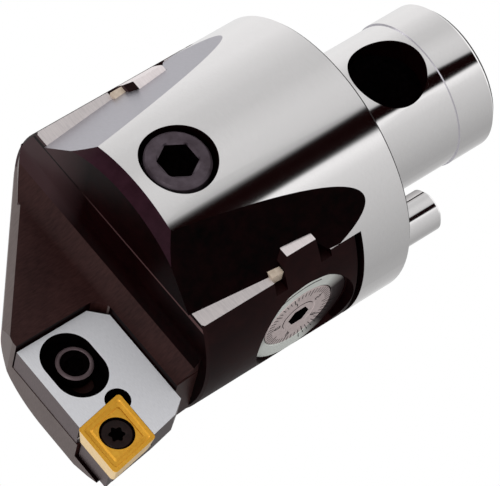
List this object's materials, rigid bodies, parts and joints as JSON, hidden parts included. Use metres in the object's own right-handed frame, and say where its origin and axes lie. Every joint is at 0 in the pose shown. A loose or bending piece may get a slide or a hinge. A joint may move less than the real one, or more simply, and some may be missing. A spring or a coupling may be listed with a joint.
{
  "type": "boring bar head with micrometer slide and insert cartridge",
  "caption": "Fine boring head: a split round steel body with coupling spigot, micrometer-fed slide with a tool nose, and a cartridge with a rhombic insert.",
  "frame": {"origin": "centre of the rear coupling face, on the head's axis", "axes": "+Z along the head's axis to the cutting end, +X the way the slide feeds the cutting edge outwards, +Y the side of the lock screw and the rake face"},
  "size_m": [0.074, 0.068, 0.1264],
  "materials": {
    "ground_steel": "fine ground, bright",
    "black_steel": "black oxide over ground steel",
    "satin_steel": "satin ground",
    "gold_carbide": "gold nitride coating",
    "dark_screw": "dark oxide",
    "brass": "milled",
    "dial_face": "satin with engraved divisions",
    "rubber": "moulded"
  },
  "bodies": {
    "head": {"body": "ground_steel", "lock_washer": "black_steel", "clamp_nut": "black_steel", "gib_strip": "brass", "gib_screws": "dark_screw", "anchor_nut": "satin_steel", "anchor_set_screw": "dark_screw", "travel_stop_pin": "satin_steel", "drive_pin": "ground_steel", "coupling_pin_screw": "dark_screw"},
    "slide_unit": {"slide": "black_steel", "vernier_ring": "dial_face", "thrust_washers": "satin_steel", "spindle_bush": "brass"},
    "spindle": {"micrometer_screw": "dark_screw", "graduated_dial": "dial_face", "spindle_seal": "rubber"},
    "cartridge_unit": {"cartridge": "satin_steel", "insert": "gold_carbide"},
    "insert_screw": {"insert_screw": "dark_screw"},
    "cartridge_screw": {"cartridge_screw": "dark_screw"},
    "lock_screw": {"lock_screw": "dark_screw"},
    "coupling_pin": {"coupling_pin": "ground_steel"}
  },
  "joints": [
    {"name": "slide_travel", "type": "slide", "parent": "head", "child": "slide_unit", "axis": [1, 0, 0], "range_m": [-0.004, 0.008]},
    {"name": "spindle_turn", "type": "hinge", "parent": "slide_unit", "child": "spindle", "pos_m": [0.0315, 0, 0.0292], "axis": [1, 0, 0], "range_deg": [-2880, 5760]},
    {"name": "cartridge_shift", "type": "slide", "parent": "slide_unit", "child": "cartridge_unit", "axis": [1, 0, 0], "range_m": [-0.0002, 0.0015]},
    {"name": "insert_screw_turn", "type": "hinge", "parent": "cartridge_unit", "child": "insert_screw", "pos_m": [0.03263, 0, 0.08005], "axis": [0, 1, 0], "range_deg": [0, 360]},
    {"name": "cartridge_screw_turn", "type": "hinge", "parent": "slide_unit", "child": "cartridge_screw", "pos_m": [0.0134, 0, 0.0764], "axis": [0, 1, 0], "range_deg": [0, 360]},
    {"name": "lock_screw_turn", "type": "hinge", "parent": "head", "child": "lock_screw", "pos_m": [0, 0.0317, 0.0437], "axis": [0, 1, 0], "range_deg": [0, 180]},
    {"name": "coupling_pin_float", "type": "slide", "parent": "head", "child": "coupling_pin", "axis": [0, 1, 0], "range_m": [-0.0012, 0.0012]}
  ],
  "couplings": [
    {"joint": "spindle_turn", "follows": "slide_travel", "rad_per_m": 12566}
  ]
}
